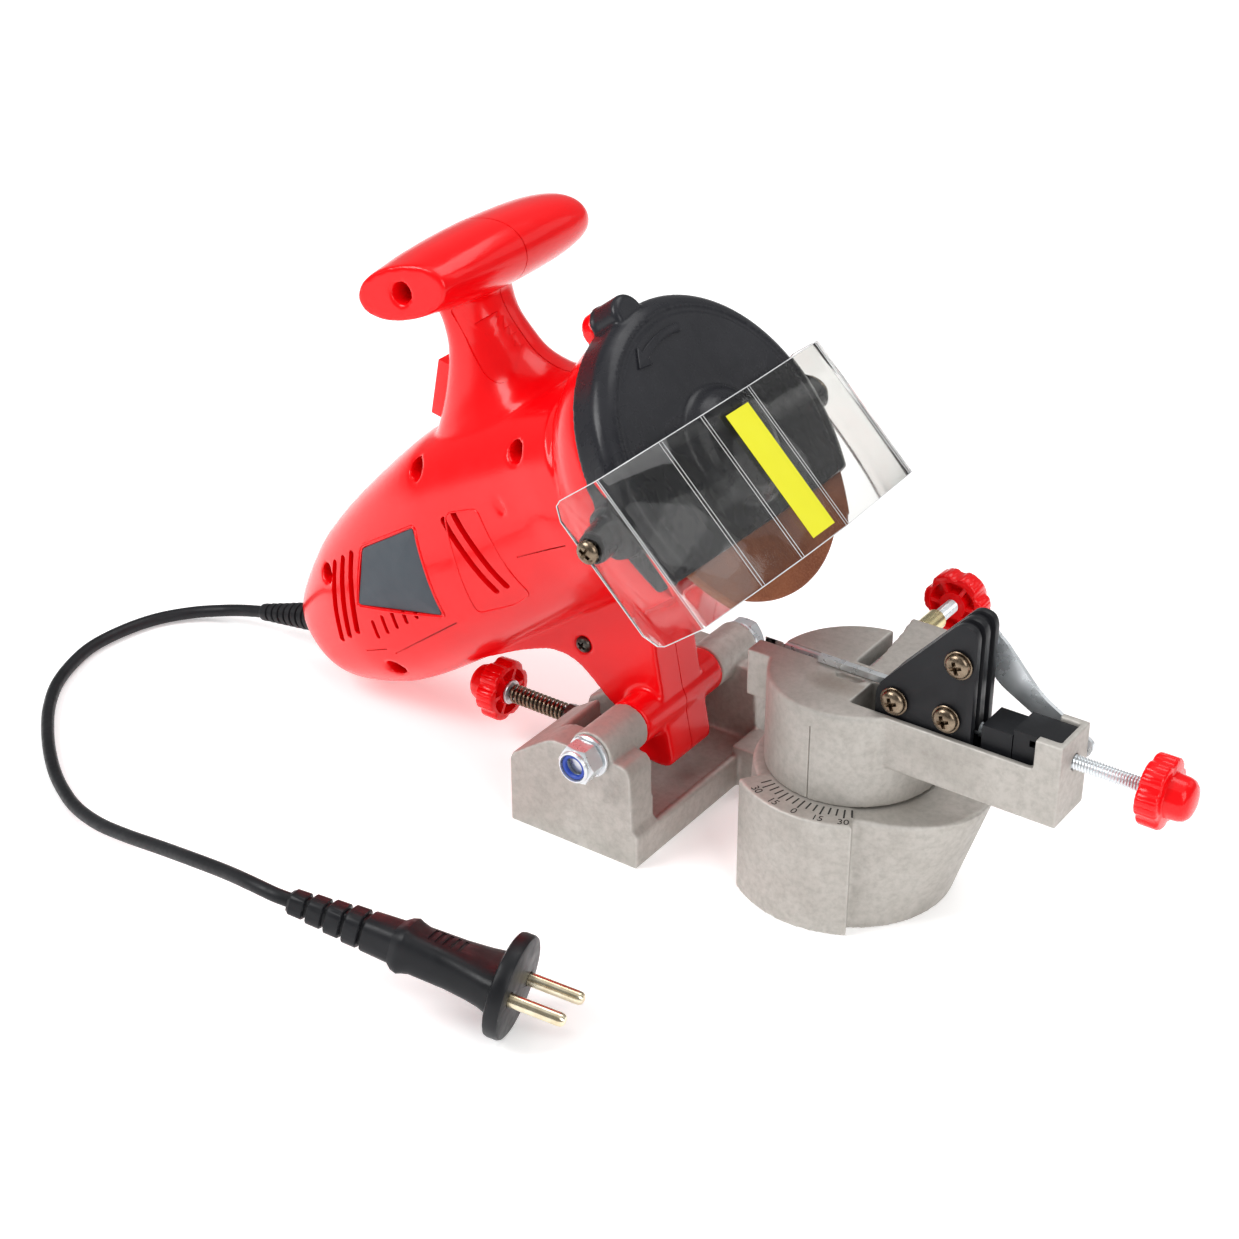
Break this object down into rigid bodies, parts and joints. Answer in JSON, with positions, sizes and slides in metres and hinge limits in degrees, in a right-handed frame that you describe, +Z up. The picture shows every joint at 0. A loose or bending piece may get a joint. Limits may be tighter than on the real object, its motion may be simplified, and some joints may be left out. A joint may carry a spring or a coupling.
{
  "type": "electric chainsaw sharpener",
  "caption": "Bench sharpener for saw chain: a tilting motor head with guarded grinding wheel and clear shield over a swivelling chain vise.",
  "frame": {"origin": "centre of the base block's underside, on the surface it stands on", "axes": "+Z up, +X along the vise arm away from the motor, +Y across, away from the pivot's nut side"},
  "size_m": [0.4467, 0.2405, 0.2035],
  "materials": {
    "cast_grey": "sand-cast, matte, mottled",
    "red_plastic": "glossy moulded",
    "charcoal_plastic": "satin moulded",
    "black_plastic": "satin",
    "slate_panel": "glossy",
    "clear_sheet": "clear polished plastic sheet",
    "zinc": "bright zinc plated",
    "yellow_zinc": "yellow zinc plated",
    "bronze_steel": "dark bronzed",
    "oxide_steel": "black oxide",
    "bare_steel": "ground",
    "carbon": "pressed carbon",
    "abrasive": "vitrified grit",
    "blue_nylon": "moulded",
    "black_rubber": "satin",
    "nickel": "nickel plated"
  },
  "bodies": {
    "base": {"base_casting": "cast_grey", "pivot_washer_near": "zinc", "pivot_washer_far": "zinc", "pivot_bolt": "zinc", "pivot_nut": "zinc", "nut_insert": "blue_nylon", "depth_nut": "oxide_steel", "depth_spring": "oxide_steel", "cord": "black_rubber", "plug_body": "black_rubber", "plug_pin_1": "nickel", "plug_pin_2": "nickel"},
    "depth_seat": {"depth_washer": "zinc"},
    "depth_screw": {"depth_rod": "oxide_steel", "depth_knob": "red_plastic"},
    "head": {"housing_near": "red_plastic", "housing_far": "red_plastic", "label_panel": "slate_panel", "switch_plate": "red_plastic", "housing_screw_1": "bronze_steel", "housing_screw_2": "bronze_steel", "housing_screw_3": "bronze_steel", "housing_screw_4": "bronze_steel", "housing_screw_5": "bronze_steel", "handle_screw": "bronze_steel", "wheel_guard": "charcoal_plastic", "guard_screw": "bronze_steel", "shield_screw_near": "bronze_steel", "shield_screw_far": "bronze_steel", "stator": "oxide_steel", "bearing_rear": "bare_steel", "bearing_front": "bare_steel", "brush_near": "carbon", "brush_far": "carbon", "return_spring": "oxide_steel", "cord_relief": "black_rubber"},
    "switch": {"switch_rocker": "black_plastic"},
    "shield": {"eye_shield": "clear_sheet"},
    "spindle": {"rotor": "bare_steel", "wheel_flange_inner": "bare_steel", "grinding_wheel": "abrasive", "wheel_flange_outer": "bare_steel", "spindle_nut": "zinc"},
    "vise": {"turntable": "cast_grey", "slide_guide": "black_plastic", "clamp_sleeve": "yellow_zinc"},
    "lock": {"lock_screw": "zinc", "lock_knob": "red_plastic"},
    "jaw": {"clamp_jaw": "zinc"},
    "clamp": {"clamp_rod": "zinc", "clamp_knob": "red_plastic"},
    "stop": {"carriage_near": "black_plastic", "carriage_far": "black_plastic", "carriage_screw_1": "bronze_steel", "carriage_screw_2": "bronze_steel", "carriage_screw_3": "bronze_steel"},
    "adjuster": {"adjust_screw": "zinc", "adjust_knob": "red_plastic"},
    "pawl": {"stop_pawl": "zinc"},
    "lever": {"stop_lever": "zinc"}
  },
  "joints": [
    {"name": "head_swing", "type": "hinge", "parent": "base", "child": "head", "pos_m": [0.0079, 0, 0.0403], "axis": [0, 1, 0], "range_deg": [0, 17], "stiffness_Nm_per_rad": 0.5, "springref_deg": -17.19},
    {"name": "wheel_spin", "type": "hinge", "parent": "head", "child": "spindle", "pos_m": [-0.03397, 0, 0.09388], "axis": [0.788, 0, 0.6157], "continuous": true},
    {"name": "shield_tilt", "type": "hinge", "parent": "head", "child": "shield", "pos_m": [0.02484, 0, 0.13475], "axis": [0, -1, 0], "range_deg": [-10, 2]},
    {"name": "switch_rock", "type": "hinge", "parent": "head", "child": "switch", "pos_m": [-0.08701, 0, 0.1382], "axis": [0, 1, 0], "range_deg": [0, 20]},
    {"name": "vise_swivel", "type": "hinge", "parent": "base", "child": "vise", "pos_m": [0.0855, -0.0015, 0.0443], "axis": [0, 0, 1], "range_deg": [-35, 35]},
    {"name": "lock_turn", "type": "hinge", "parent": "vise", "child": "lock", "pos_m": [0.0855, -0.0015, 0.03], "axis": [0, 0, 1], "range_deg": [0, 270]},
    {"name": "depth_feed", "type": "slide", "parent": "base", "child": "depth_seat", "axis": [1, 0, 0], "range_m": [0, 0.004], "deforming": ["depth_spring"]},
    {"name": "depth_turn", "type": "hinge", "parent": "depth_seat", "child": "depth_screw", "pos_m": [-0.0598, -0.0042, 0.0204], "axis": [1, 0, 0], "range_deg": [0, 2060]},
    {"name": "jaw_feed", "type": "slide", "parent": "vise", "child": "jaw", "axis": [0, -1, 0], "range_m": [0, 0.001]},
    {"name": "clamp_turn", "type": "hinge", "parent": "jaw", "child": "clamp", "pos_m": [0.0868, 0.05, 0.0745], "axis": [0, -1, 0], "range_deg": [0, 451]},
    {"name": "stop_feed", "type": "slide", "parent": "vise", "child": "stop", "axis": [-1, 0, 0], "range_m": [-0.002, 0.008]},
    {"name": "adjust_turn", "type": "hinge", "parent": "stop", "child": "adjuster", "pos_m": [0.19, -0.0115, 0.0794], "axis": [-1, 0, 0], "range_deg": [-901, 3601]},
    {"name": "pawl_lift", "type": "hinge", "parent": "stop", "child": "pawl", "pos_m": [0.10909, -0.004, 0.0844], "axis": [0, 1, 0], "range_deg": [0, 40]},
    {"name": "lever_lift", "type": "hinge", "parent": "stop", "child": "lever", "pos_m": [0.13089, -0.002, 0.10532], "axis": [0, -1, 0], "range_deg": [0, 30]}
  ],
  "couplings": [
    {"joint": "depth_turn", "follows": "depth_feed", "rad_per_m": 8976},
    {"joint": "clamp_turn", "follows": "jaw_feed", "rad_per_m": 7854},
    {"joint": "adjust_turn", "follows": "stop_feed", "rad_per_m": 7854}
  ]
}
